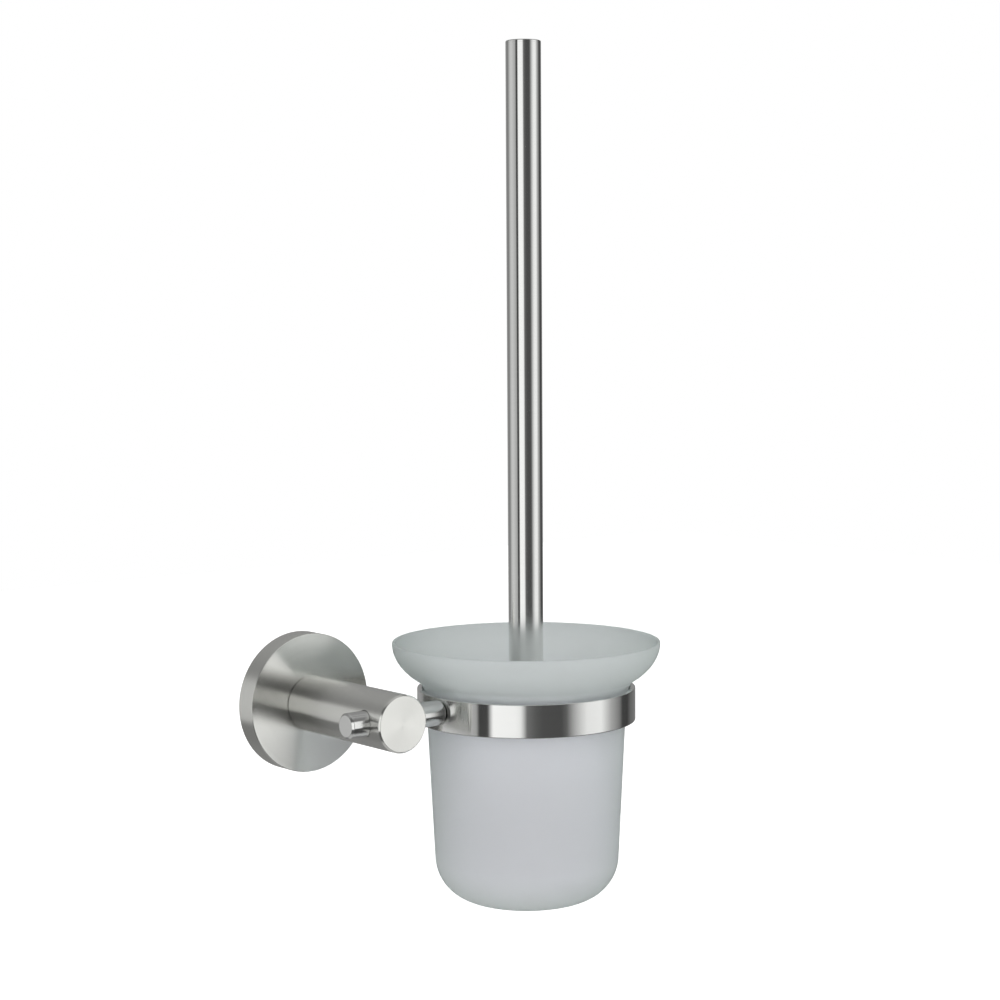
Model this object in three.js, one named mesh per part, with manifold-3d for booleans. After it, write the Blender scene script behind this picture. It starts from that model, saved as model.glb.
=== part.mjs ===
// Wall-mounted toilet brush holder: a round wall flange carries a post, a cross rod through the post
// holds a ring, and a frosted glass cup hangs in the ring by its flared rim. The brush stands in the cup.
//
// Millimetres, +Z up. The origin is the centre of the wall bracket's back face, on the wall plane y = 0.
// The wall is on the +Y side, the post runs out along -Y, and +X points along the rod towards the cup.
import * as THREE from 'three';
import { mergeVertices } from 'three/addons/utils/BufferGeometryUtils.js';
import Module from 'manifold-3d';

const wasm = await Module();
wasm.setup();

// ---- Driving dimensions -------------------------------------------------------------------------

const GAP = 0.3;                 // left between neighbouring pieces that touch

const FLANGE = { radius: 32, depth: 11.5, wall: 2.7, front: 2.5, edge: 0.4 };
const BRACKET = { base: 3.5, rimDepth: 8, rimWall: 3.4, screwOffset: 16 };
const POST = { radius: 12.9, end: 81.8, bevel: 0.7 };
const ROD = { radius: 5.7, out: 69.5, knobEnd: -22, bevel: 0.9 };
const RING = { radius: 50.3, wall: 2.3, height: 15, drop: 1.25, edge: 0.5, x: 80 };
const SEAT = { wall: 0.8, bottom: -8.2, top: 3.6 };
const HANDLE = { radius: 8, wall: 1, top: 299.7, bottom: -14, cap: 1.2 };

// The glass cup: a slightly tapered body with a round bottom corner, and a bowl-shaped rim whose outline
// is part of an ellipse. The wall thins towards the rim. Angles are in radians below the rim's level.
const CUP = {
  wall: 3.4, floor: 6, bottom: -92.6, baseRadius: 42.5, corner: 20, bodyRadius: 46.1, bodyTop: -0.5,
  bowlCentre: 24.9, bowlReach: 36.8, bowlDepth: 23.1, bowlStart: 0.8, rim: 26.85, rimWall: 1.4, push: 1,
};

// The brush head: a turned plastic core with rings of bristle tufts and a bristle crown at its end.
const HEAD = {
  collar: 10, collarEnd: -31, core: 7.5, coreEnd: -80, stud: 4, studEnd: -32,
  rows: 7, rowPitch: 6.6, rowThick: 6, firstRow: -37, radius: 33, domeStart: -62, domeDepth: 25,
  crownTop: -80.4,
};

const M4 = 2;                    // thread radii
const M5 = 2.5;
const M6 = 3;
const WALL_SCREW = { shank: 2.1, head: 4.1, headDepth: 2.2, behindWall: 20, slot: 1 };

const ringTop = RING.height / 2 - RING.drop;
const ringBottom = -RING.height / 2 - RING.drop;
const ringInner = RING.radius - RING.wall;
const coverInner = FLANGE.radius - FLANGE.wall;
const grubDepth = 5.6;           // distance of the flange's grub screw from the wall

// The groove round the bracket's rim that the flange's grub screw bears in.
const grubGroove = { depth: 1.2, bottomHalf: 1.2, mouthHalf: 2.3 };

// ---- Materials ----------------------------------------------------------------------------------

function finish(color, roughness, metalness, more = {}) {
  return new THREE.MeshStandardMaterial({ color, roughness, metalness, ...more });
}

const SATIN_STEEL = { color: 0xb9b8b4, roughness: 0.34, metalness: 1 };
const POLISHED_STEEL = { color: 0xc4c4c1, roughness: 0.14, metalness: 1 };
const materials = {
  satin: () => finish(SATIN_STEEL.color, SATIN_STEEL.roughness, SATIN_STEEL.metalness),
  polished: () => finish(POLISHED_STEEL.color, POLISHED_STEEL.roughness, POLISHED_STEEL.metalness),
  castMetal: () => finish(0x9b9b98, 0.5, 1),
  screwSteel: () => finish(0x8e8f90, 0.38, 1),
  glass: () => finish(0xc3cac8, 0.55, 0, { transparent: true, opacity: 0.75 }),
  clearPlastic: () => finish(0xdfe3e2, 0.4, 0, { transparent: true, opacity: 0.7 }),
  whitePlastic: () => finish(0xeeeeec, 0.45, 0),
  bristle: () => finish(0xf2f2ef, 0.7, 0),
};

// ---- Making solids ------------------------------------------------------------------------------

// A solid of revolution about +Z. The profile is [radius, height] pairs, up the outside and back down
// the inside, or from the axis back to the axis.
function turned(profile, segments = 48) {
  const points = profile.map(([r, h]) => new THREE.Vector2(r, h));
  const closesOnAxis = profile[0][0] === 0 && profile.at(-1)[0] === 0;
  if (!closesOnAxis) points.push(points[0].clone());
  return new THREE.LatheGeometry(points, segments).rotateX(Math.PI / 2);
}

// The same, turned so that heights run out from the wall along -Y.
const turnedFromWall = (profile, segments) => turned(profile, segments).rotateX(Math.PI / 2);

// The same, with heights along +X.
const turnedAlongX = (profile, segments) => turned(profile, segments).rotateY(Math.PI / 2);

// A full rod of one radius between two heights, with bevels of the given sizes at its ends.
function rodProfile(radius, from, to, bevelFrom = 0, bevelTo = 0) {
  const profile = [[0, from]];
  if (bevelFrom > 0) profile.push([radius - bevelFrom, from]);
  profile.push([radius, from + bevelFrom], [radius, to - bevelTo]);
  if (bevelTo > 0) profile.push([radius - bevelTo, to]);
  profile.push([0, to]);
  return profile;
}

// A ring of rectangular section.
function ringProfile(inner, outer, from, to) {
  return [[inner, from], [outer, from], [outer, to], [inner, to]];
}

// Points along part of an ellipse in the profile plane, angles in radians.
function arc(centreR, centreH, radiusR, radiusH, start, end, steps) {
  const points = [];
  for (let i = 0; i <= steps; i += 1) {
    const angle = start + (end - start) * i / steps;
    points.push([centreR + radiusR * Math.cos(angle), centreH + radiusH * Math.sin(angle)]);
  }
  return points;
}

// A hexagonal prism along +Z, for socket recesses.
function hexPrism(acrossFlats, from, to) {
  const radius = acrossFlats / Math.sqrt(3);
  return new THREE.CylinderGeometry(radius, radius, to - from, 6)
    .rotateX(Math.PI / 2)
    .translate(0, 0, (from + to) / 2);
}

function toSolid(geometry) {
  const plain = geometry.clone();
  plain.deleteAttribute('normal');
  plain.deleteAttribute('uv');
  const merged = mergeVertices(plain, 1e-4);
  const triVerts = [];
  for (let i = 0; i < merged.index.count; i += 3) {
    const [a, b, c] = merged.index.array.subarray(i, i + 3);
    if (a !== b && b !== c && c !== a) triVerts.push(a, b, c);
  }
  const mesh = new wasm.Mesh({
    numProp: 3,
    vertProperties: Float32Array.from(merged.attributes.position.array),
    triVerts: Uint32Array.from(triVerts),
  });
  return new wasm.Manifold(mesh);
}

function toGeometry(solid) {
  const mesh = solid.getMesh();
  const geometry = new THREE.BufferGeometry();
  geometry.setAttribute('position', new THREE.BufferAttribute(Float32Array.from(mesh.vertProperties), 3));
  geometry.setIndex(new THREE.BufferAttribute(Uint32Array.from(mesh.triVerts), 1));
  geometry.computeVertexNormals();
  return geometry;
}

function cut(body, ...tools) {
  return toGeometry(tools.reduce((solid, tool) => solid.subtract(toSolid(tool)), toSolid(body)));
}

const model = new THREE.Group();

// Pieces on the cup's axis are modelled about x = y = 0 and stand in this group.
const cupAxis = new THREE.Group();
cupAxis.position.set(RING.x, -ROD.out, 0);
model.add(cupAxis);

function add(group, name, geometry, material) {
  const mesh = new THREE.Mesh(geometry, material);
  mesh.name = name;
  group.add(mesh);
}

// ---- Wall bracket and its screws ----------------------------------------------------------------

const screwSides = { upper: 1, lower: -1 };

// A countersunk hole through the bracket's base for one wall screw.
function wallScrewHole(side) {
  const { shank, head, headDepth } = WALL_SCREW;
  const bore = shank + GAP;
  const mouth = head + GAP;
  const profile = [
    [0, -1], [bore, -1], [bore, BRACKET.base - headDepth],
    [mouth, BRACKET.base], [mouth, BRACKET.base + 1], [0, BRACKET.base + 1],
  ];
  return turnedFromWall(profile, 24).translate(0, 0, side * BRACKET.screwOffset);
}

function wallBracket() {
  const outer = coverInner - GAP;
  const inner = outer - BRACKET.rimWall;
  const { depth, bottomHalf, mouthHalf } = grubGroove;
  const profile = [
    [0, 0], [outer, 0], [outer, grubDepth - mouthHalf], [outer - depth, grubDepth - bottomHalf],
    [outer - depth, grubDepth + bottomHalf], [outer, grubDepth + mouthHalf], [outer, BRACKET.rimDepth],
    [inner, BRACKET.rimDepth], [inner, BRACKET.base], [0, BRACKET.base],
  ];
  return cut(turnedFromWall(profile), ...Object.values(screwSides).map(wallScrewHole));
}

function wallScrew(side) {
  const { shank, head, headDepth, behindWall, slot } = WALL_SCREW;
  const top = BRACKET.base - 0.1;
  const profile = [
    [0, -behindWall], [shank * 0.5, 3 - behindWall], [shank, 6 - behindWall], [shank, top - headDepth],
    [head, top], [0, top],
  ];
  const crossRecess = [0, Math.PI / 2].map((turn) => (
    new THREE.BoxGeometry(head * 1.1, 2.4, slot).translate(0, -top, 0).rotateY(turn)
  ));
  return cut(turnedFromWall(profile, 24), ...crossRecess).translate(0, 0, side * BRACKET.screwOffset);
}

add(model, 'wall_bracket', wallBracket(), materials.castMetal());
for (const [name, side] of Object.entries(screwSides)) {
  add(model, `wall_screw_${name}`, wallScrew(side), materials.screwSteel());
}

// ---- Flange cover -------------------------------------------------------------------------------

function flangeCover() {
  const { radius, depth, front, edge } = FLANGE;
  const hole = M6 + GAP;
  const profile = [
    [coverInner, GAP], [radius, GAP], [radius, depth - edge],
    [radius - edge, depth],
    [hole, depth], [hole, depth - front], [coverInner, depth - front],
  ];
  const grubHole = turned(rodProfile(M4 + GAP, -radius - 1, 1 - coverInner), 20).translate(0, -grubDepth, 0);
  return cut(turnedFromWall(profile, 56), grubHole);
}

// A socket set screw along +Z that enters from below: its hexagonal socket is at the lower end and its
// cone point at the upper end.
function grubScrew(threadRadius, bottom, tip, socket) {
  const cone = threadRadius * 0.6;
  const profile = [
    [0, bottom], [threadRadius, bottom], [threadRadius, tip - cone],
    [threadRadius - cone, tip], [0, tip],
  ];
  return cut(turned(profile, 20), hexPrism(socket, bottom - 1, bottom + threadRadius * 0.9));
}

function flangeGrubScrew() {
  const grooveBottom = coverInner - GAP - grubGroove.depth;
  return grubScrew(M4, 0.4 - FLANGE.radius, -grooveBottom - GAP, 2).translate(0, -grubDepth, 0);
}

add(model, 'flange_cover', flangeCover(), materials.satin());
add(model, 'flange_grub_screw', flangeGrubScrew(), materials.screwSteel());

// ---- Post and the bolt that holds it to the flange ----------------------------------------------

const boltHead = { radius: 5.2, from: 4.6, to: 7.6 };
const boltTip = 24;

function post() {
  const { radius, end, bevel } = POST;
  const body = turnedFromWall(rodProfile(radius, FLANGE.depth + GAP, end, 0, bevel), 48);
  const boltHole = turnedFromWall(rodProfile(M6 + GAP, FLANGE.depth - 1, boltTip + 2), 24);
  const rodHole = turnedAlongX(rodProfile(ROD.radius + 0.2, -radius - 1, radius + 1), 40)
    .translate(0, -ROD.out, 0);
  const grubHole = turned(rodProfile(M5 + GAP, -radius - 1, -ROD.radius + 1), 20)
    .translate(0, -ROD.out, 0);
  return cut(body, boltHole, rodHole, grubHole);
}

function postBolt() {
  const { radius, from, to } = boltHead;
  const profile = [
    [0, from], [radius - 1.4, from], [radius, from + 1.4], [radius, to],
    [M6, to], [M6, boltTip - 1], [M6 - 1, boltTip], [0, boltTip],
  ];
  const socket = hexPrism(4, from - 1, from + 1.8).rotateX(Math.PI / 2);
  return cut(turnedFromWall(profile, 28), socket);
}

function lockWasher() {
  const to = FLANGE.depth - FLANGE.front - GAP;
  return turnedFromWall(ringProfile(M6 + GAP, 6, boltHead.to + 0.2, to), 28);
}

add(model, 'post', post(), materials.satin());
add(model, 'post_bolt', postBolt(), materials.screwSteel());
add(model, 'post_lock_washer', lockWasher(), materials.screwSteel());

// ---- Cross rod: a short knob on one side of the post, the arm to the ring on the other ----------

const rodEnd = RING.x - RING.radius - GAP;

function crossRod() {
  const { radius, knobEnd, bevel } = ROD;
  const body = turnedAlongX(rodProfile(radius, knobEnd, rodEnd, bevel, bevel), 48);
  const screwHole = turnedAlongX(rodProfile(M4 + GAP, rodEnd - 12, rodEnd + 1), 20);
  return cut(body, screwHole).translate(0, -ROD.out, 0);
}

function rodGrubScrew() {
  return grubScrew(M5, 0.6 - POST.radius, -ROD.radius - GAP, 2.5).translate(0, -ROD.out, 0);
}

add(model, 'cross_rod', crossRod(), materials.polished());
add(model, 'rod_grub_screw', rodGrubScrew(), materials.screwSteel());

// ---- Ring, its fixing screw and the seat for the glass ------------------------------------------

// The countersunk screw lies along +X through the ring's wall at z = 0, with its head inside the ring.
const ringScrew = { head: 3.7, headDepth: 1.9, tip: rodEnd - 10, top: RING.x - ringInner - 0.2 };

function ringBand() {
  const { radius, edge } = RING;
  const profile = [
    [ringInner, ringBottom], [radius - edge, ringBottom], [radius, ringBottom + edge],
    [radius, ringTop - edge], [radius - edge, ringTop], [ringInner, ringTop],
  ];
  const { head, headDepth, top } = ringScrew;
  const bore = M4 + GAP;
  const mouth = head + GAP;
  const hole = turnedAlongX([
    [0, rodEnd - 1], [bore, rodEnd - 1], [bore, top - headDepth], [mouth, top], [mouth, top + 1],
    [0, top + 1],
  ], 24).translate(-RING.x, 0, 0);
  return cut(turned(profile, 56), hole);
}

function ringScrewSolid() {
  const { head, headDepth, tip, top } = ringScrew;
  const profile = [
    [0, tip], [M4 - 0.6, tip], [M4, tip + 0.8], [M4, top - headDepth], [head, top - 0.2], [head, top],
    [0, top],
  ];
  const socket = hexPrism(2.5, top - 1.4, top + 1).rotateY(Math.PI / 2);
  return cut(turnedAlongX(profile, 24), socket).translate(-RING.x, 0, 0);
}

// A thin liner pressed into the ring: the glass rests on its upper edge and doesn't touch the steel.
function glassSeat() {
  const outer = ringInner - GAP;
  return turned(ringProfile(outer - SEAT.wall, outer, SEAT.bottom, SEAT.top), 48);
}

add(cupAxis, 'ring_band', ringBand(), materials.polished());
add(cupAxis, 'ring_screw', ringScrewSolid(), materials.screwSteel());
add(cupAxis, 'glass_seat', glassSeat(), materials.clearPlastic());

// ---- Glass cup ----------------------------------------------------------------------------------

// The height and radius where two lines meet, each given by a point and a direction.
function meeting([r1, h1], [dr1, dh1], [r2, h2], [dr2, dh2]) {
  const along = ((r2 - r1) * dh2 - (h2 - h1) * dr2) / (dr1 * dh2 - dh1 * dr2);
  return [r1 + along * dr1, h1 + along * dh1];
}

// One side of the glass, from the bottom corner up the body, through the neck and out along the bowl.
// The inner side lies inwards by the wall, and by less at the rim.
function cupSide(wall, rimWall, floor, corner, steps) {
  const { baseRadius, bottom, bodyRadius, bodyTop, bowlCentre, bowlReach, bowlDepth, bowlStart, rim } = CUP;
  const reach = bowlReach - rimWall;
  const depth = bowlDepth - wall;
  const taper = Math.atan2(bodyRadius - baseRadius, bodyTop - bottom);
  const cornerCentre = baseRadius - wall - corner;
  const bowl = arc(bowlCentre, rim, reach, depth, -bowlStart, 0, steps);
  const neckStart = [bodyRadius - wall, bodyTop];
  const neckControl = meeting(
    neckStart, [Math.sin(taper), Math.cos(taper)],
    bowl[0], [reach * Math.sin(bowlStart), depth * Math.cos(bowlStart)],
  );
  const [start, control, end] = [neckStart, neckControl, bowl[0]].map(([r, h]) => new THREE.Vector2(r, h));
  const neck = new THREE.QuadraticBezierCurve(start, control, end).getPoints(4).map(({ x, y }) => [x, y]);
  return [
    ...arc(cornerCentre, bottom + floor + corner, corner, corner, -Math.PI / 2, -taper, steps),
    ...neck.slice(0, -1),
    ...bowl,
  ];
}

function glassCup() {
  const { wall, rimWall, floor, bottom, corner, rim, bowlCentre, bowlReach, push } = CUP;
  const outside = cupSide(0, 0, 0, corner, 6);
  const inside = cupSide(wall, rimWall, floor, corner - wall, 5);
  const lip = arc(bowlCentre + bowlReach - rimWall / 2, rim, rimWall / 2, rimWall / 2, 0, Math.PI, 4);
  const profile = [
    [0, bottom + push], ...outside, ...lip.slice(1, -1), ...inside.reverse(), [0, bottom + floor],
  ];
  return turned(profile, 48);
}

add(cupAxis, 'glass_cup', glassCup(), materials.glass());

// ---- Brush --------------------------------------------------------------------------------------

const tubeInner = HANDLE.radius - HANDLE.wall;
const tubeTop = HANDLE.top - HANDLE.cap;

function handleTopCap() {
  const { radius, top, cap } = HANDLE;
  const spigot = tubeInner - GAP;
  return turned([
    [0, tubeTop - 9], [spigot - 0.5, tubeTop - 9], [spigot, tubeTop - 8.5], [spigot, tubeTop + 0.15],
    [radius, tubeTop + 0.15], [radius, top - 0.6], [radius - 0.6, top], [0, top],
  ], 36);
}

// The insert pressed into the lower end of the handle, with the threaded stud for the brush head.
function headStud() {
  const insert = tubeInner - GAP;
  const { stud, studEnd } = HEAD;
  return turned([
    [0, studEnd], [stud - 0.8, studEnd], [stud, studEnd + 0.8], [stud, HANDLE.bottom],
    [insert, HANDLE.bottom], [insert, HANDLE.bottom + 20], [0, HANDLE.bottom + 20],
  ], 32);
}

function headCore() {
  const { collar, collarEnd, core, coreEnd, stud, studEnd } = HEAD;
  const top = HANDLE.bottom - GAP;
  const body = turned([
    [0, coreEnd], [core - 2, coreEnd], [core, coreEnd + 2], [core, collarEnd - 2],
    [collar, collarEnd], [collar, top - 1.5], [collar - 1.5, top], [0, top],
  ], 40);
  return cut(body, turned(rodProfile(stud + GAP, studEnd - 2, top + 1), 24));
}

// The head's outline narrows to a dome towards its lower end.
function bristleReach(z) {
  const { radius, domeStart, domeDepth } = HEAD;
  const down = Math.max(0, domeStart - z) / domeDepth;
  return radius * Math.sqrt(1 - down * down);
}

function bristleRow(index) {
  const middle = HEAD.firstRow - index * HEAD.rowPitch;
  const half = HEAD.rowThick / 2;
  const inner = HEAD.core + GAP;
  return turned([
    [inner, middle - half], [bristleReach(middle - half), middle - half],
    [bristleReach(middle + half), middle + half], [inner, middle + half],
  ], 28);
}

function bristleCrown() {
  const { crownTop } = HEAD;
  const bottom = CUP.bottom + CUP.floor + GAP;
  const middle = (crownTop + bottom) / 2;
  return turned([
    [0, bottom], [bristleReach(middle) * 0.7, bottom], [bristleReach(middle), middle],
    [bristleReach(middle), crownTop], [0, crownTop],
  ], 28);
}

add(cupAxis, 'handle_tube', turned(ringProfile(tubeInner, HANDLE.radius, HANDLE.bottom, tubeTop)),
  materials.polished());
add(cupAxis, 'handle_top_cap', handleTopCap(), materials.polished());
add(cupAxis, 'head_stud', headStud(), materials.screwSteel());
add(cupAxis, 'head_core', headCore(), materials.whitePlastic());
for (let index = 0; index < HEAD.rows; index += 1) {
  add(cupAxis, `bristle_row_${index + 1}`, bristleRow(index), materials.bristle());
}
add(cupAxis, 'bristle_crown', bristleCrown(), materials.bristle());

export default model;
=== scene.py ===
"""Toilet brush holder on a wall flange: the looks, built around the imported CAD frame.

Everything is in metres in the part's own frame: the wall is the plane y = 0, the post runs out along -Y,
the cross rod lies along X, and the cup, ring and brush share a vertical axis.
"""
import math
import random

import bmesh
import bpy
from mathutils import Matrix, Vector


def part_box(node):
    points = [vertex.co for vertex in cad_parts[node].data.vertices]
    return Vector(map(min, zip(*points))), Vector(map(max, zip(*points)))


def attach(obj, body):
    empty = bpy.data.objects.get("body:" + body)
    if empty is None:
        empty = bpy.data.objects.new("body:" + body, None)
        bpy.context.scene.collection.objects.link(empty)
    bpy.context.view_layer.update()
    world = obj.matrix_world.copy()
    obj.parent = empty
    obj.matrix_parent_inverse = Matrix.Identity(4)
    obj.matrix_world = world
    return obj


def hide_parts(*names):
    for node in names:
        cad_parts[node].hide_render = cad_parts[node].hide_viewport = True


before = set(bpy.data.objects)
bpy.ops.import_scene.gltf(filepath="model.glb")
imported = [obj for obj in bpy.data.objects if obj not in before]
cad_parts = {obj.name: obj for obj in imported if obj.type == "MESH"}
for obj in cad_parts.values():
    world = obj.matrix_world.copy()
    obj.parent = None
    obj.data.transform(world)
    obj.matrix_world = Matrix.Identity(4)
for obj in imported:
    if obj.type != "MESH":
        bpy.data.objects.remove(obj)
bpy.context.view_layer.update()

MM = 0.001
TAU = 2 * math.pi


# ---- Places and sizes, read from the frame ------------------------------------------------------

def node_size(node):
    low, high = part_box(node)
    return high - low


def node_middle(node):
    low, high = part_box(node)
    return (low + high) / 2


flange_low, flange_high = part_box("flange_cover")
post_low, post_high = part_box("post")
rod_low, rod_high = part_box("cross_rod")
ring_low, ring_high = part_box("ring_band")
seat_low, seat_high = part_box("glass_seat")
cup_low, cup_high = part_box("glass_cup")
tube_low, tube_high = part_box("handle_tube")
cap_low, cap_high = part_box("handle_top_cap")
core_low, core_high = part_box("head_core")

CUP_AXIS = Vector((node_middle("ring_band").x, node_middle("ring_band").y, 0))
ROD_AXIS = Vector((0, node_middle("cross_rod").y, 0))
FLANGE_RADIUS = node_size("flange_cover").x / 2
POST_RADIUS = node_size("post").x / 2
ROD_RADIUS = node_size("cross_rod").z / 2
RING_RADIUS = node_size("ring_band").x / 2
HANDLE_RADIUS = node_size("handle_tube").x / 2

# Frames whose local +Z is each turned piece's own axis.
UPRIGHT = Matrix.Identity(3)
OUT_FROM_WALL = Matrix(((1, 0, 0), (0, 0, -1), (0, 1, 0)))      # local Z is -Y
ALONG_ROD = Matrix(((0, 0, 1), (0, 1, 0), (-1, 0, 0)))          # local Z is +X

SHARP_EDGE = 32                          # degrees between two faces
ON_AXIS = 0.0001 * MM                    # a radius up to this is on the axis


# ---- Mesh tools ---------------------------------------------------------------------------------

def arc(centre_r, centre_h, radius_r, radius_h, start, end, steps):
    """Points along part of an ellipse in the profile plane. Angles in degrees."""
    points = []
    for i in range(steps + 1):
        angle = math.radians(start + (end - start) * i / steps)
        points.append((centre_r + radius_r * math.cos(angle), centre_h + radius_h * math.sin(angle)))
    return points


def rounded(corners, steps):
    """The profile through the corners. A corner's third value, if it has one, is its rounding.

    A point just outside each rounding keeps the shading of the straight sides flat."""
    longest = 0.49       # share of a straight side that a rounding may take
    outside = 0.05       # share of the rounding by which that point lies outside it
    points = [tuple(corners[0][:2])]
    for before, corner, after in zip(corners, corners[1:], corners[2:]):
        rounding = corner[2] if len(corner) > 2 else 0
        here = Vector(corner[:2])
        to_before = Vector(before[:2]) - here
        to_after = Vector(after[:2]) - here
        if rounding <= 0:
            points.append(tuple(here))
            continue
        reach = min(rounding, to_before.length * longest, to_after.length * longest)
        start = here + to_before.normalized() * reach
        end = here + to_after.normalized() * reach
        beside = reach * outside
        points.append(tuple(start + to_before.normalized() * beside))
        for i in range(steps + 1):
            t = i / steps
            points.append(tuple((1 - t) ** 2 * start + 2 * t * (1 - t) * here + t * t * end))
        points.append(tuple(end + to_after.normalized() * beside))
    points.append(tuple(corners[-1][:2]))
    return points


def rounded_loop(corners, steps):
    """The same for a closed profile."""
    return rounded([corners[-1], *corners, corners[0]], steps)[1:-1]


def new_object(name, mesh, location=(0, 0, 0), rotation=UPRIGHT):
    piece = bpy.data.objects.new(name, mesh)
    bpy.context.scene.collection.objects.link(piece)
    piece.matrix_world = Matrix.Translation(location) @ rotation.to_4x4()
    return piece


def smooth(mesh):
    """Smooth shading that stays sharp at the real edges."""
    mesh.shade_smooth()
    mesh.set_sharp_from_angle(angle=math.radians(SHARP_EDGE))


def turned(name, profile, location, rotation, segments, closed=False):
    """A solid of revolution about local Z.

    The profile of (radius, height) points starts and ends on the axis, unless it is closed."""
    bm = bmesh.new()
    rings = []
    for radius, height in profile:
        ring = []
        for i in range(segments if radius > ON_AXIS else 1):
            turn = TAU * i / segments
            ring.append(bm.verts.new((radius * math.cos(turn), radius * math.sin(turn), height)))
        rings.append(ring)
    pairs = list(zip(rings, rings[1:]))
    if closed:
        pairs.append((rings[-1], rings[0]))
    for low, high in pairs:
        for i in range(segments):
            j = (i + 1) % segments
            corners = [low[i % len(low)], low[j % len(low)], high[j % len(high)], high[i % len(high)]]
            face = list(dict.fromkeys(corners))
            if len(face) > 2:
                bm.faces.new(face)
    mesh = bpy.data.meshes.new(name)
    bm.to_mesh(mesh)
    bm.free()
    smooth(mesh)
    return new_object(name, mesh, location, rotation)


def drill(radius, start, end, location, rotation, segments):
    """A plain cylinder along local Z, to cut a hole with."""
    profile = [(0, start), (radius, start), (radius, end), (0, end)]
    return turned("drill", profile, location, rotation, segments)


def carve(piece, *tools):
    """Cuts the tools out of the piece and removes them."""
    for tool in tools:
        cutter = piece.modifiers.new("cut", "BOOLEAN")
        cutter.operation = "DIFFERENCE"
        cutter.solver = "EXACT"
        cutter.object = tool
    bpy.context.view_layer.update()
    evaluated = piece.evaluated_get(bpy.context.evaluated_depsgraph_get())
    mesh = bpy.data.meshes.new_from_object(evaluated)
    piece.modifiers.clear()
    piece.data = mesh
    smooth(mesh)
    for tool in tools:
        bpy.data.objects.remove(tool)
    return piece


def finish_piece(piece, body, slot, material, *nodes):
    """Gives a piece its material, the body it rides on and the CAD nodes that it stands for. The slot is not
    used.
    """
    piece.data.materials.clear()
    piece.data.materials.append(material)
    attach(piece, body)
    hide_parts(*nodes)


# ---- Materials ----------------------------------------------------------------------------------

class Nodes:
    """A node tree, with short ways to add and link nodes."""

    def __init__(self, tree):
        self.tree = tree

    def node(self, kind, **properties):
        node = self.tree.nodes.new(kind)
        for key, value in properties.items():
            setattr(node, key, value)
        return node

    def link(self, output, target):
        self.tree.links.new(output, target)

    def feed(self, target, value):
        """Links a socket into the target, or sets a plain value there."""
        if isinstance(value, bpy.types.NodeSocket):
            self.link(value, target)
        else:
            target.default_value = value

    def math(self, operation, *values):
        node = self.node("ShaderNodeMath", operation=operation)
        for index, value in enumerate(values):
            self.feed(node.inputs[index], value)
        return node.outputs[0]


class Shader(Nodes):
    """A new material, with the patterns that the materials here are made of."""

    def __init__(self, name, **settings):
        self.material = bpy.data.materials.new(name)
        self.material.use_nodes = True
        super().__init__(self.material.node_tree)
        self.surface = self.tree.nodes["Principled BSDF"]
        for socket, value in settings.items():
            self.surface.inputs[socket.replace("_", " ")].default_value = value

    def place(self):
        """The point in the piece's own axes."""
        return self.node("ShaderNodeTexCoord").outputs["Object"]

    def around_axis(self):
        """Distance from local Z, height along it and angle about it."""
        split = self.node("ShaderNodeSeparateXYZ")
        self.link(self.place(), split.inputs[0])
        x, y, z = split.outputs
        squares = self.math("ADD", self.math("MULTIPLY", x, x), self.math("MULTIPLY", y, y))
        return self.math("SQRT", squares), z, self.math("ARCTAN2", y, x)

    def noise(self, vector, scale, detail, roughness):
        node = self.node("ShaderNodeTexNoise")
        self.link(vector, node.inputs["Vector"])
        node.inputs["Scale"].default_value = scale
        node.inputs["Detail"].default_value = detail
        node.inputs["Roughness"].default_value = roughness
        return node.outputs["Fac"]

    def combine(self, x, y, z):
        node = self.node("ShaderNodeCombineXYZ")
        for index, value in enumerate((x, y, z)):
            self.link(value, node.inputs[index])
        return node.outputs[0]

    def spread(self, value, low, high, start=0.3, end=0.7):
        """Maps start..end, by default the middle range of a noise value, to low..high."""
        node = self.node("ShaderNodeMapRange")
        self.link(value, node.inputs["Value"])
        node.inputs["From Min"].default_value = start
        node.inputs["From Max"].default_value = end
        node.inputs["To Min"].default_value = low
        node.inputs["To Max"].default_value = high
        return node.outputs[0]

    def colour_between(self, factor, first, second):
        """Mixes two colours; each is a socket or three numbers."""
        node = self.node("ShaderNodeMix", data_type="RGBA")
        self.link(factor, node.inputs["Factor"])
        for socket, colour in ((node.inputs[6], first), (node.inputs[7], second)):
            self.feed(socket, (*colour, 1) if isinstance(colour, tuple) else colour)
        return node.outputs[2]

    def vary(self, pattern, colour, colour_shares, roughness, roughness_shares):
        """Lets colour and roughness follow a pattern, between two shares of their own value."""
        darkest, lightest = (shade(colour, share) for share in colour_shares)
        smoothest, roughest = (roughness * share for share in roughness_shares)
        self.link(self.colour_between(pattern, darkest, lightest), self.surface.inputs["Base Color"])
        self.link(self.spread(pattern, smoothest, roughest), self.surface.inputs["Roughness"])

    def bump(self, height, strength, distance):
        node = self.node("ShaderNodeBump")
        node.inputs["Strength"].default_value = strength
        node.inputs["Distance"].default_value = distance
        self.link(height, node.inputs["Height"])
        self.link(node.outputs[0], self.surface.inputs["Normal"])


def shade(colour, factor):
    return tuple(min(1, channel * factor) for channel in colour)


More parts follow.
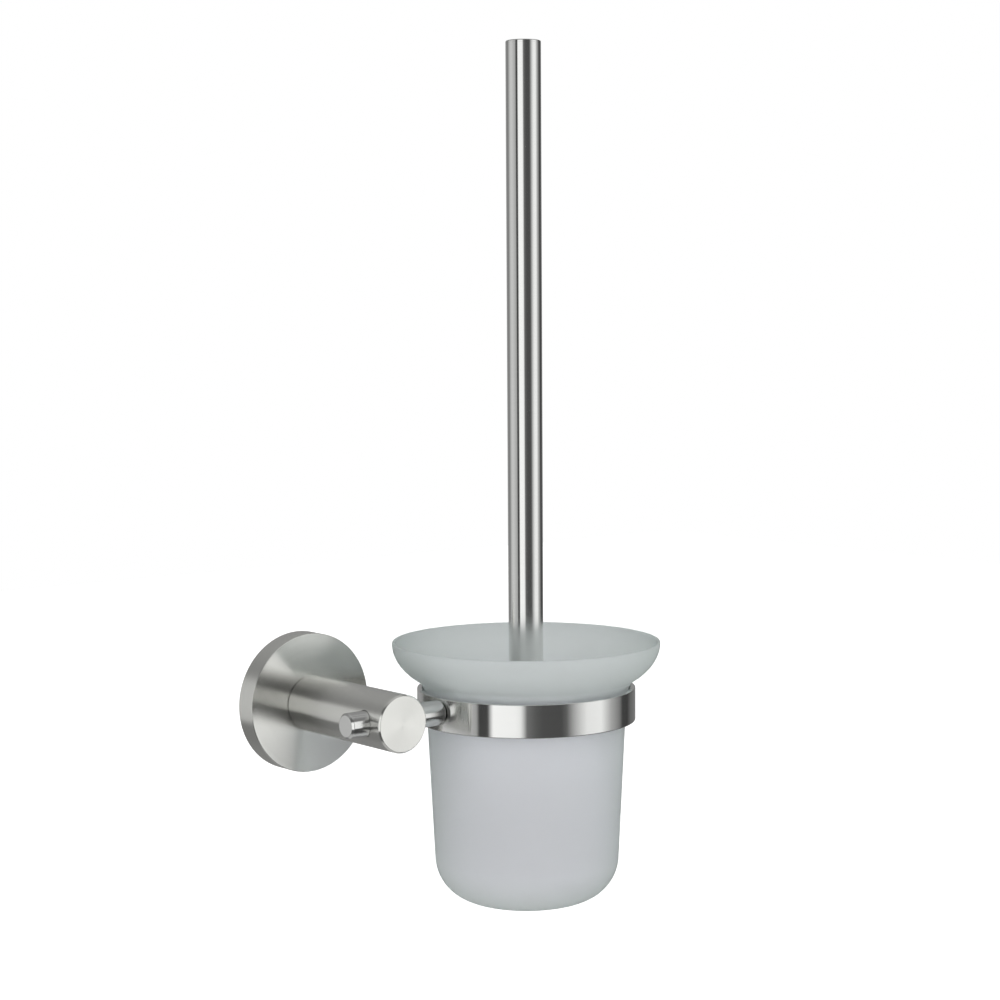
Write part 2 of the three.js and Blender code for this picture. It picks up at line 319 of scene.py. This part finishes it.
def turned_metal(name, colour, roughness, grain, relief):
    """Steel with fine lines around the local Z axis, as turning and belt brushing leave them.

    grain is the width of the finest lines in metres, relief their depth."""
    line_length = 0.35       # how fast the lines change along their own way, in grains a radian
    broad_lines = 0.12       # how many of the broader lines there are to each fine one
    fine_share, broad_share = 0.7, 0.3
    shader = Shader(name, Metallic=1.0, Anisotropic=1.0, Anisotropic_Rotation=0.25)
    radius, height, angle = shader.around_axis()
    across = shader.combine(radius, height, shader.math("MULTIPLY", angle, grain * line_length))
    fine = shader.noise(across, 1 / grain, detail=3.0, roughness=0.6)
    broad = shader.noise(across, broad_lines / grain, detail=2.0, roughness=0.5)
    lines = shader.math("ADD", shader.math("MULTIPLY", fine, fine_share),
                        shader.math("MULTIPLY", broad, broad_share))
    shader.vary(lines, colour, (0.93, 1.07), roughness, (0.85, 1.15))
    shader.bump(fine, strength=0.35, distance=relief)
    tangent = shader.node("ShaderNodeTangent", direction_type="RADIAL", axis="Z")
    shader.link(tangent.outputs[0], shader.surface.inputs["Tangent"])
    return shader.material


def plain_metal(name, colour, roughness, grain):
    """Plated or cast metal with an even fine texture."""
    shader = Shader(name, Metallic=1.0)
    speckle = shader.noise(shader.place(), 1 / grain, detail=4.0, roughness=0.6)
    shader.vary(speckle, colour, (0.85, 1.12), roughness, (0.8, 1.2))
    shader.bump(speckle, strength=0.25, distance=grain * 0.15)
    return shader.material


def moulded_plastic(name, colour, roughness, grain, **settings):
    """Plastic with a faint, soft-edged mottle."""
    shader = Shader(name, **settings)
    mottle = shader.noise(shader.place(), 1 / grain, detail=3.0, roughness=0.55)
    shader.vary(mottle, colour, (0.95, 1.03), roughness, (0.9, 1.1))
    shader.bump(mottle, strength=0.2, distance=grain * 0.1)
    return shader.material


def frosted_glass():
    """Etched glass: it scatters the light that falls on it and lets a blurred part through.

    Its colour is painted darker and greener at a slant. That is partly the glass's green edge tint and
    partly painted shade on the sides that turn from the light in front. Towards the floor and the flare it
    is painted darker and greener too, a painted shade on the ends that face away from the light."""
    cool, pale = (0.89, 0.905, 0.94), (0.925, 0.94, 0.975)
    # cool and pale are the glass's own tones; the next two are a painted shade colour for the ends, and a
    # slant colour that is partly painted shade and partly the glass's green edge tint
    painted_shade_at_ends, slant_tint_and_shade = (0.80, 0.835, 0.835), (0.73, 0.795, 0.77)
    etching, clouds = 0.35 * MM, 28 * MM
    body_middle = -39 * MM       # height about which the two ends lie evenly
    ends_from, ends_full = 34 * MM, 56 * MM
    shader = Shader("frosted_glass", Transmission_Weight=0.55, IOR=1.45)
    etch = shader.noise(shader.place(), 1 / etching, detail=3.0, roughness=0.6)
    cloud = shader.noise(shader.place(), 1 / clouds, detail=2.0, roughness=0.5)
    facing = shader.node("ShaderNodeLayerWeight")
    facing.inputs["Blend"].default_value = 0.5
    slant = shader.math("POWER", facing.outputs["Facing"], 1.5)
    height = shader.around_axis()[1]
    from_middle = shader.math("ABSOLUTE", shader.math("SUBTRACT", height, body_middle))
    # painted shade: 0 in the body's middle, 1 towards the floor and the flare, where the colour is painted
    # darker and greener
    ends = shader.spread(from_middle, 0, 1, ends_from, ends_full)
    body = shader.colour_between(ends, shader.colour_between(cloud, cool, pale), painted_shade_at_ends)
    # partly painted shade: darker and greener at a slant, the green being the glass's edge tint and the
    # darkening a painted shade on the sides
    shader.link(shader.colour_between(slant, body, slant_tint_and_shade), shader.surface.inputs["Base Color"])
    shader.link(shader.spread(etch, 0.55, 0.66), shader.surface.inputs["Roughness"])
    shader.bump(etch, strength=0.25, distance=0.03 * MM)
    return shader.material


# Name, colour, roughness, grain and, for the turned steels, relief.
SATIN = turned_metal("satin_steel", (0.86, 0.862, 0.825), 0.20, 0.16 * MM, 0.004 * MM)
BRIGHT = turned_metal("bright_steel", (0.76, 0.765, 0.75), 0.12, 0.10 * MM, 0.001 * MM)
CAST = plain_metal("cast_zinc", (0.70, 0.70, 0.69), 0.5, 0.5 * MM)
SCREW = plain_metal("screw_steel", (0.62, 0.63, 0.64), 0.32, 0.2 * MM)
CLEAR = moulded_plastic("clear_seat", (0.78, 0.81, 0.80), 0.35, 1.2 * MM, Transmission_Weight=0.5, IOR=1.5)
WHITE = moulded_plastic("white_plastic", (0.86, 0.86, 0.85), 0.42, 0.8 * MM)
NYLON = moulded_plastic("bristle_nylon", (0.88, 0.88, 0.86), 0.5, 2.0 * MM, Subsurface_Weight=0.15)
FROST = frosted_glass()


# ---- Pieces on the wall side --------------------------------------------------------------------

CLEAR_OF_SURFACE = 2 * MM                # how far outside a piece a drill starts


def flange_cover():
    """The flange: a shallow turned cup with a small edge radius and a slightly domed face, open towards
    the wall."""
    back = -flange_high.y
    front = -flange_low.y
    dome = 0.45 * MM
    dome_radius = FLANGE_RADIUS - 1 * MM
    dome_steps = 12
    bolt_hole = 3.3 * MM
    inside = front - 2.5 * MM
    inner = node_size("wall_bracket").x / 2 + 0.3 * MM
    screw_hole, screw_hole_depth = 2.2 * MM, 8 * MM
    face = []
    for i in range(dome_steps):
        share = 1 - i / dome_steps
        face.append((POST_RADIUS + (dome_radius - POST_RADIUS) * share, front - dome * share ** 2))
    profile = rounded_loop([
        (inner, back), (FLANGE_RADIUS, back, 0.25 * MM), (FLANGE_RADIUS, front - dome, 0.35 * MM), *face,
        (bolt_hole, front), (bolt_hole, inside), (inner, inside, 0.8 * MM),
    ], steps=5)
    cover = turned("flange_cover_turned", profile, (0, 0, 0), OUT_FROM_WALL, segments=224, closed=True)
    screw = node_middle("flange_grub_screw")
    below = (screw.x, screw.y, flange_low.z - CLEAR_OF_SURFACE)
    return carve(cover, drill(screw_hole, 0, screw_hole_depth, below, UPRIGHT, segments=48))


def post():
    """The post: a turned bar with a bevelled end, drilled across for the rod and below for its screw."""
    back = -post_high.y
    front = -post_low.y
    bevel = 0.65 * MM
    rod_hole = ROD_RADIUS + 0.2 * MM
    screw_hole, screw_hole_depth = 2.7 * MM, 9 * MM
    profile = rounded([
        (0, back), (POST_RADIUS, back, 0.12 * MM), (POST_RADIUS, front - bevel, 0.15 * MM),
        (POST_RADIUS - bevel, front, 0.12 * MM), (0, front),
    ], steps=4)
    bar = turned("post_turned", profile, (0, 0, 0), OUT_FROM_WALL, segments=192)
    reach = POST_RADIUS + CLEAR_OF_SURFACE
    across = drill(rod_hole, -reach, reach, ROD_AXIS, ALONG_ROD, segments=96)
    below = drill(screw_hole, 0, screw_hole_depth, (0, ROD_AXIS.y, -reach), UPRIGHT, segments=48)
    return carve(bar, across, below)


def cross_rod():
    """The rod: the short knob on one side of the post and the arm to the ring on the other."""
    bevel = 0.9 * MM
    soft = 0.15 * MM
    profile = rounded([
        (0, rod_low.x), (ROD_RADIUS - bevel, rod_low.x, soft), (ROD_RADIUS, rod_low.x + bevel, soft),
        (ROD_RADIUS, rod_high.x - bevel, soft), (ROD_RADIUS - bevel, rod_high.x, soft), (0, rod_high.x),
    ], steps=4)
    return turned("cross_rod_bright", profile, ROD_AXIS, ALONG_ROD, segments=128)


def ring_band():
    """The band that the rod carries, around the glass."""
    inner = RING_RADIUS - 2.3 * MM
    profile = rounded_loop([
        (inner, ring_low.z, 0.3 * MM), (RING_RADIUS, ring_low.z, 0.45 * MM),
        (RING_RADIUS, ring_high.z, 0.45 * MM), (inner, ring_high.z, 0.3 * MM),
    ], steps=4)
    return turned("ring_band_bright", profile, CUP_AXIS, UPRIGHT, segments=288, closed=True)


def glass_seat():
    """The thin liner inside the ring that the glass rests on."""
    outer = node_size("glass_seat").x / 2
    inner = outer - 0.8 * MM
    profile = rounded_loop([
        (inner, seat_low.z, 0.2 * MM), (outer, seat_low.z, 0.2 * MM),
        (outer, seat_high.z, 0.2 * MM), (inner, seat_high.z, 0.35 * MM),
    ], steps=3)
    return turned("glass_seat_clear", profile, CUP_AXIS, UPRIGHT, segments=224, closed=True)


# ---- Glass cup ----------------------------------------------------------------------------------

# body_top is a height in the part's frame. The bowl's arc is centred bowl_centre away from the axis, at the
# rim's height, and begins bowl_start radians below it. hollow is how far the underside is pushed in, and
# hollow_share how much of the flat bottom that covers.
CUP = {
    "wall": 3.4 * MM, "rim_wall": 1.4 * MM, "floor": 6 * MM, "base_radius": 42.5 * MM, "corner": 20 * MM,
    "body_radius": 46.1 * MM, "body_top": -0.5 * MM, "bowl_centre": 24.9 * MM, "bowl_depth": 23.1 * MM,
    "bowl_start": 0.8, "hollow": 1 * MM, "hollow_share": 0.7,
}
CUP_BODY_STEPS = 12
CUP_RADIUS = cup_high.x - CUP_AXIS.x
CUP_RIM = cup_high.z - CUP["rim_wall"] / 2


def meeting(first, first_way, second, second_way):
    """The point where two lines in the profile plane meet, each given by a point and a direction."""
    between = second - first
    cross = first_way.x * second_way.y - first_way.y * second_way.x
    return first + first_way * ((between.x * second_way.y - between.y * second_way.x) / cross)


def cup_side(wall, rim_wall, floor, corner, steps):
    """One side of the glass: the bottom corner, the tapered body, the neck and the bowl up to the rim.

    The inner side lies inwards by the wall, and by less at the rim."""
    bottom = cup_low.z
    reach = CUP_RADIUS - CUP["bowl_centre"] - rim_wall
    depth = CUP["bowl_depth"] - wall
    taper = math.atan2(CUP["body_radius"] - CUP["base_radius"], CUP["body_top"] - bottom)
    centre = CUP["base_radius"] - wall - corner
    lower = arc(centre, bottom + floor + corner, corner, corner, -90, -math.degrees(taper), steps)
    bowl = arc(CUP["bowl_centre"], CUP_RIM, reach, depth, -math.degrees(CUP["bowl_start"]), 0, steps * 2)
    body_end = Vector((CUP["body_radius"] - wall, CUP["body_top"]))
    bowl_end = Vector(bowl[0])
    bowl_way = Vector((reach * math.sin(CUP["bowl_start"]), depth * math.cos(CUP["bowl_start"])))
    control = meeting(body_end, Vector((math.sin(taper), math.cos(taper))), bowl_end, bowl_way)
    body = [tuple(Vector(lower[-1]).lerp(body_end, i / CUP_BODY_STEPS)) for i in range(1, CUP_BODY_STEPS)]
    neck = []
    for i in range(steps):
        t = i / steps
        neck.append(tuple((1 - t) ** 2 * body_end + 2 * t * (1 - t) * control + t * t * bowl_end))
    return lower + body + neck + bowl


def glass_cup():
    """The cup: its outer side, the round lip and the inner side, closed by the floor."""
    wall, rim_wall = CUP["wall"], CUP["rim_wall"]
    outside = cup_side(0, 0, 0, CUP["corner"], steps=16)
    inside = cup_side(wall, rim_wall, CUP["floor"], CUP["corner"] - wall, steps=14)
    lip = arc(CUP_RADIUS - rim_wall / 2, CUP_RIM, rim_wall / 2, rim_wall / 2, 0, 180, steps=10)
    hollow_edge = outside[0][0] * CUP["hollow_share"]
    underside = [(0, cup_low.z + CUP["hollow"]), (hollow_edge, cup_low.z + CUP["hollow"] * 0.9)]
    profile = [*underside, *outside, *lip[1:-1], *reversed(inside), (0, cup_low.z + CUP["floor"])]
    return turned("glass_cup_frosted", profile, CUP_AXIS, UPRIGHT, segments=256)


# ---- Brush --------------------------------------------------------------------------------------

def handle_tube():
    """The handle: a straight tube with a 1 mm wall."""
    inner = HANDLE_RADIUS - 1 * MM
    profile = rounded_loop([
        (inner, tube_low.z, 0.2 * MM), (HANDLE_RADIUS, tube_low.z, 0.3 * MM),
        (HANDLE_RADIUS, tube_high.z), (inner, tube_high.z),
    ], steps=3)
    return turned("handle_tube_bright", profile, CUP_AXIS, UPRIGHT, segments=128, closed=True)


def handle_top_cap():
    """The plug that closes the handle: a spigot in the tube and a disc on its end."""
    spigot = HANDLE_RADIUS - 1.3 * MM
    seam = tube_high.z + 0.02 * MM
    profile = rounded([
        (0, cap_low.z), (spigot, cap_low.z, 0.5 * MM), (spigot, seam), (HANDLE_RADIUS, seam),
        (HANDLE_RADIUS, cap_high.z, 0.7 * MM), (0, cap_high.z),
    ], steps=6)
    return turned("handle_cap_bright", profile, CUP_AXIS, UPRIGHT, segments=128)


def head_core():
    """The head's plastic core: a collar that screws on the handle's stud, and a body for the tufts."""
    collar = node_size("head_core").x / 2
    body = 7.5 * MM
    collar_end = core_high.z - 16.7 * MM
    slope = 3 * MM
    stud_hole = 4.2 * MM
    hole_end = core_high.z - 18 * MM
    profile = rounded([
        (0, core_low.z), (body, core_low.z, 2 * MM), (body, collar_end - slope, 1.5 * MM),
        (collar, collar_end, 1.2 * MM), (collar, core_high.z, 1.5 * MM), (stud_hole, core_high.z, 0.3 * MM),
        (stud_hole, hole_end, 0.2 * MM), (0, hole_end),
    ], steps=5)
    return turned("head_core_moulded", profile, CUP_AXIS, UPRIGHT, segments=96)


BRISTLE_RADIUS = 0.17 * MM
BRISTLE_TAPER = 0.25                     # share of the radius lost towards the tip
BRISTLE_SIDES = 3
BRISTLE_STEPS = 3
TUFT_HOLE_RADIUS = 0.9 * MM
GOLDEN_ANGLE = 2.39996                   # radians from one bristle of a tuft to the next
NOT_ALONG_ANY_BRISTLE = Vector((0.3, 0.2, 1))
ROW_TUFTS, ROW_HOLE, ROW_SPREAD, ROW_BRISTLES = 20, 7.1 * MM, 3.2 * MM, 26
CROWN_SPREAD, CROWN_BRISTLES = 2.1 * MM, 22
# Rings of tufts on the head's end: number of tufts, lean in degrees, distance from the axis.
CROWN_RINGS = ((1, 0, 0), (6, 38, 2.6 * MM), (12, 62, 5.0 * MM))


def filament(root, tip, droop, points, faces):
    """One bristle as a thin rod with a slight bend, closed at both ends."""
    along = (tip - root).normalized()
    side = along.cross(NOT_ALONG_ANY_BRISTLE).normalized()
    other = along.cross(side)
    sides = BRISTLE_SIDES
    first = len(points)
    last = first + BRISTLE_STEPS * sides
    for step in range(BRISTLE_STEPS + 1):
        t = step / BRISTLE_STEPS
        centre = root.lerp(tip, t) + droop * (t * t)
        width = BRISTLE_RADIUS * (1 - BRISTLE_TAPER * t)
        for corner in range(sides):
            angle = TAU * corner / sides
            points.append(centre + (side * math.cos(angle) + other * math.sin(angle)) * width)
    for base in range(first, last, sides):
        for corner in range(sides):
            after = (corner + 1) % sides
            faces.append((base + corner, base + after, base + sides + after, base + sides + corner))
    faces.append(tuple(reversed(range(first, first + sides))))
    faces.append(tuple(range(last, last + sides)))


def tuft(root, direction, length, spread, count, chance, points, faces):
    """A bundle of bristles that fans out slightly from its hole.

    Each bristle's place, length and bend are off by a little, drawn from chance."""
    across = direction.cross(Vector((0, 0, 1)))
    if across.length < 0.1:
        across = Vector((1, 0, 0))
    across.normalize()
    other = direction.cross(across).normalized()
    for index in range(count):
        turn = index * GOLDEN_ANGLE + chance.uniform(-0.2, 0.2)
        share = math.sqrt((index + 0.5) / count)
        offset = across * math.cos(turn) * share + other * math.sin(turn) * share
        start = root + offset * TUFT_HOLE_RADIUS
        tip = root + direction * length * chance.uniform(0.955, 1.0) + offset * spread
        droop = Vector((chance.uniform(-0.3, 0.3), chance.uniform(-0.3, 0.3), chance.uniform(-0.5, 0.1)))
        filament(start, tip, droop * MM, points, faces)


def bristle_mesh(name, points, faces):
    mesh = bpy.data.meshes.new(name)
    mesh.from_pydata([tuple(p) for p in points], [], faces)
    mesh.shade_smooth()
    return new_object(name, mesh, CUP_AXIS)


def bristle_row(index):
    """One ring of tufts, inside the outline of its CAD disc. Every second row is half a tuft further on."""
    node = f"bristle_row_{index}"
    length = node_size(node).x / 2 - 0.6 * MM - ROW_HOLE
    middle = Vector((0, 0, node_middle(node).z))
    half_on = 0.5 * (index % 2)
    chance = random.Random(100 + index)
    points, faces = [], []
    for number in range(ROW_TUFTS):
        turn = TAU * (number + half_on) / ROW_TUFTS
        direction = Vector((math.cos(turn), math.sin(turn), 0))
        root = direction * ROW_HOLE + middle
        tuft(root, direction, length, ROW_SPREAD, ROW_BRISTLES, chance, points, faces)
    return bristle_mesh(f"bristle_tufts_{index}", points, faces)


def bristle_crown():
    """The tufts on the head's lower end, fanned out and down."""
    chance = random.Random(77)
    points, faces = [], []
    top = core_low.z + 0.3 * MM
    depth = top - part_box("bristle_crown")[0].z - 0.7 * MM
    longest = 13 * MM
    for count, lean, hole in CROWN_RINGS:
        for number in range(count):
            turn = TAU * (number + 0.25) / count
            slope = math.radians(lean)
            direction = Vector((math.cos(turn) * math.sin(slope), math.sin(turn) * math.sin(slope),
                                -math.cos(slope)))
            root = Vector((math.cos(turn) * hole, math.sin(turn) * hole, top))
            length = min(depth / math.cos(slope), longest)
            tuft(root, direction, length, CROWN_SPREAD, CROWN_BRISTLES, chance, points, faces)
    return bristle_mesh("bristle_tufts_end", points, faces)


# ---- Assembly -----------------------------------------------------------------------------------

finish_piece(flange_cover(), "wall_holder", "satin_steel", SATIN, "flange_cover")
finish_piece(post(), "wall_holder", "satin_steel", SATIN, "post")
finish_piece(cross_rod(), "wall_holder", "polished_steel", BRIGHT, "cross_rod")
finish_piece(ring_band(), "wall_holder", "polished_steel", BRIGHT, "ring_band")
finish_piece(glass_seat(), "wall_holder", "clear_plastic", CLEAR, "glass_seat")
finish_piece(glass_cup(), "cup", "frosted_glass", FROST, "glass_cup")
finish_piece(handle_tube(), "brush", "polished_steel", BRIGHT, "handle_tube")
finish_piece(handle_top_cap(), "brush", "polished_steel", BRIGHT, "handle_top_cap")
finish_piece(head_core(), "brush", "white_plastic", WHITE, "head_core")
for row in range(1, 8):
    finish_piece(bristle_row(row), "brush", "bristle_nylon", NYLON, f"bristle_row_{row}")
finish_piece(bristle_crown(), "brush", "bristle_nylon", NYLON, "bristle_crown")

CARRIED_OVER = {
    "wall_bracket": CAST, "wall_screw_upper": SCREW, "wall_screw_lower": SCREW, "flange_grub_screw": SCREW,
    "post_bolt": SCREW, "post_lock_washer": SCREW, "rod_grub_screw": SCREW, "ring_screw": SCREW,
    "head_stud": SCREW,
}
for node, material in CARRIED_OVER.items():
    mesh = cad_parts[node].data
    mesh.materials.clear()
    mesh.materials.append(material)


# ---- Floor, light and camera --------------------------------------------------------------------

VIEW_AZIMUTH = math.radians(39.309)      # the camera looks this far to the right of +Y
VIEW_PITCH = math.radians(-4.75)
VIEW_ROLL = math.radians(-0.325)
CAMERA_PLACE = Vector((-0.5564, -0.8285, 0.1747))
FOCAL_SHARE = 2.1704                     # focal length over picture width
SENSOR = 36.0


def camera():
    forward = Vector((math.sin(VIEW_AZIMUTH) * math.cos(VIEW_PITCH),
                      math.cos(VIEW_AZIMUTH) * math.cos(VIEW_PITCH), math.sin(VIEW_PITCH)))
    level = Vector((math.cos(VIEW_AZIMUTH), -math.sin(VIEW_AZIMUTH), 0))
    upward = level.cross(forward)
    right = level * math.cos(VIEW_ROLL) + upward * math.sin(VIEW_ROLL)
    up = upward * math.cos(VIEW_ROLL) - level * math.sin(VIEW_ROLL)
    lens = bpy.data.cameras.new("camera")
    lens.sensor_width = SENSOR
    lens.lens = SENSOR * FOCAL_SHARE
    lens.clip_end = 50
    eye = bpy.data.objects.new("camera", lens)
    bpy.context.scene.collection.objects.link(eye)
    eye.matrix_world = Matrix.Translation(CAMERA_PLACE) @ Matrix((right, up, -forward)).transposed().to_4x4()
    bpy.context.scene.camera = eye


def floor():
    """A plain white floor well below the holder. It doesn't show in the steel."""
    size = 6.0
    height = -0.75
    corners = [(-size, -size, height), (size, -size, height), (size, size, height), (-size, size, height)]
    mesh = bpy.data.meshes.new("floor")
    mesh.from_pydata(corners, [], [(0, 1, 2, 3)])
    ground = new_object("floor", mesh)
    shader = Shader("floor_white", Base_Color=(0.9, 0.9, 0.9, 1), Roughness=0.9,
                    Emission_Color=(1, 1, 1, 1), Emission_Strength=0.6)
    mesh.materials.append(shader.material)
    ground.visible_glossy = False
    ground.visible_diffuse = False
    ground.visible_transmission = False


# Studio light as the steel sees it, all round the object: [degrees to the right of the camera,
# brightness]. Between the stops the brightness runs evenly.
AT_EYE_HEIGHT = (
    (-180, 0.30), (-150, 0.34), (-132, 0.24), (-119, 0.28), (-109, 0.50), (-98, 0.68), (-86, 0.72),
    (-76, 0.66), (-66, 0.57), (-54, 0.45), (-51, 0.06), (-41, 0.07), (-35.5, 1.2), (-12, 1.18),
    (-6.5, 1.08), (0, 0.2), (9, 0.12), (17, 0.09), (36, 0.085), (42, 0.15), (50, 0.5), (58, 0.8),
    (66, 1.05), (84, 1.1), (91, 0.8), (99, 0.5), (115, 0.22), (120, 0.065), (132, 0.055), (141, 0.15),
    (160, 0.21), (180, 0.30),
)
OVERHEAD = (
    (-180, 0.31), (-100, 0.27), (-60, 0.22), (-40, 0.15), (20, 0.12), (50, 0.18), (75, 0.22),
    (125, 0.24), (150, 0.29), (180, 0.31),
)
UNDERFOOT = (
    (-180, 0.21), (-100, 0.21), (-60, 0.17), (-40, 0.12), (20, 0.08), (45, 0.07), (65, 0.06),
    (112, 0.08), (130, 0.22), (180, 0.21),
)
# Sines of the elevation where each takes over, and how much higher these lie on the right.
OVERHEAD_FROM, OVERHEAD_FULL, OVERHEAD_SIDE = 0.384, 0.52, 0.078
UNDERFOOT_FROM, UNDERFOOT_FULL, UNDERFOOT_SIDE = -0.285, -0.41, 0.047
# The same straight up and straight down, whatever the side.
STEEP_FROM, STEEP_FULL, STEEP_LEVEL = 0.74, 0.86, 0.5

# Soft light on everything that scatters it, and what shows through the glass: brightness from below and
# from above, and how much is added from the camera's side, taken off behind, and added from the right.
SOFT_BELOW, SOFT_ABOVE, SOFT_FRONT, SOFT_BEHIND, SOFT_SIDE = 0.64, 0.74, 0.54, 0.16, -0.03
THROUGH_BELOW, THROUGH_ABOVE, THROUGH_SIDE = 0.78, 0.90, 0.22


class Sky(Nodes):
    """The world's node tree, which gives a brightness for each direction."""

    def __init__(self, name):
        world = bpy.data.worlds.new(name)
        world.use_nodes = True
        world.cycles.sampling_method = "NONE"
        bpy.context.scene.world = world
        super().__init__(world.node_tree)
        self.tree.nodes.clear()

    def blend(self, factor, first, second):
        node = self.node("ShaderNodeMix", data_type="FLOAT")
        for index, value in ((0, factor), (2, first), (3, second)):
            self.feed(node.inputs[index], value)
        return node.outputs[0]

    def around(self, share, levels):
        """The brightness at a share of the way round, from stops of [degrees, brightness]."""
        node = self.node("ShaderNodeValToRGB")
        stops = node.color_ramp.elements
        for index, (degrees, level) in enumerate(levels):
            position = degrees / 360 + 0.5
            stop = stops[index] if index < 2 else stops.new(position)
            stop.position = position
            stop.color = (level, level, level, 1)
        self.link(share, node.inputs[0])
        return node.outputs[0]

    def past(self, height, start, full):
        """Goes smoothly from 0 at one height to 1 at the other."""
        node = self.node("ShaderNodeMapRange", interpolation_type="SMOOTHSTEP")
        self.link(height, node.inputs["Value"])
        node.inputs["From Min"].default_value = start
        node.inputs["From Max"].default_value = full
        return node.outputs[0]


def studio():
    """A pale studio all round. Steel, rough surfaces and the glass each see it at their own brightness."""
    sky = Sky("studio")
    split = sky.node("ShaderNodeSeparateXYZ")
    sky.link(sky.node("ShaderNodeTexCoord").outputs["Generated"], split.inputs[0])
    x, y, z = split.outputs
    # sine and cosine of the angle to the right of the camera
    sine = sky.math("SUBTRACT", sky.math("MULTIPLY", x, math.cos(VIEW_AZIMUTH)),
                    sky.math("MULTIPLY", y, math.sin(VIEW_AZIMUTH)))
    cosine = sky.math("SUBTRACT", sky.math("MULTIPLY", x, -math.sin(VIEW_AZIMUTH)),
                      sky.math("MULTIPLY", y, math.cos(VIEW_AZIMUTH)))
    share = sky.math("ADD", sky.math("DIVIDE", sky.math("ARCTAN2", sine, cosine), TAU), 0.5)

    above = sky.math("SUBTRACT", z, sky.math("MULTIPLY", sine, OVERHEAD_SIDE))
    below = sky.math("SUBTRACT", z, sky.math("MULTIPLY", sine, UNDERFOOT_SIDE))
    at_eye_height = sky.around(share, AT_EYE_HEIGHT)
    overhead = sky.around(share, OVERHEAD)
    underfoot = sky.around(share, UNDERFOOT)
    seen = sky.blend(sky.past(above, OVERHEAD_FROM, OVERHEAD_FULL), at_eye_height, overhead)
    seen = sky.blend(sky.past(below, UNDERFOOT_FROM, UNDERFOOT_FULL), seen, underfoot)
    seen = sky.blend(sky.past(sky.math("ABSOLUTE", z), STEEP_FROM, STEEP_FULL), seen, STEEP_LEVEL)

    lift = sky.math("MULTIPLY", sky.math("ADD", z, 1), 0.5)
    forwards = sky.math("MAXIMUM", sky.math("MULTIPLY", cosine, SOFT_FRONT), -SOFT_BEHIND)
    sideways = sky.math("ADD", sky.math("MULTIPLY", sine, SOFT_SIDE), forwards)
    soft = sky.math("ADD", sky.blend(lift, SOFT_BELOW, SOFT_ABOVE), sideways)
    rightwards = sky.math("MULTIPLY", sine, THROUGH_SIDE)
    through = sky.math("ADD", sky.blend(lift, THROUGH_BELOW, THROUGH_ABOVE), rightwards)

    path = sky.node("ShaderNodeLightPath")
    level = sky.blend(path.outputs["Is Glossy Ray"], soft, seen)
    level = sky.blend(path.outputs["Is Transmission Ray"], level, through)
    level = sky.blend(path.outputs["Is Camera Ray"], level, 1.0)
    background = sky.node("ShaderNodeBackground")
    background.inputs["Color"].default_value = (1, 1, 1, 1)
    sky.link(level, background.inputs["Strength"])
    sky.link(background.outputs[0], sky.node("ShaderNodeOutputWorld").inputs[0])


camera()
floor()
studio()
bpy.context.scene.view_settings.view_transform = "Standard"
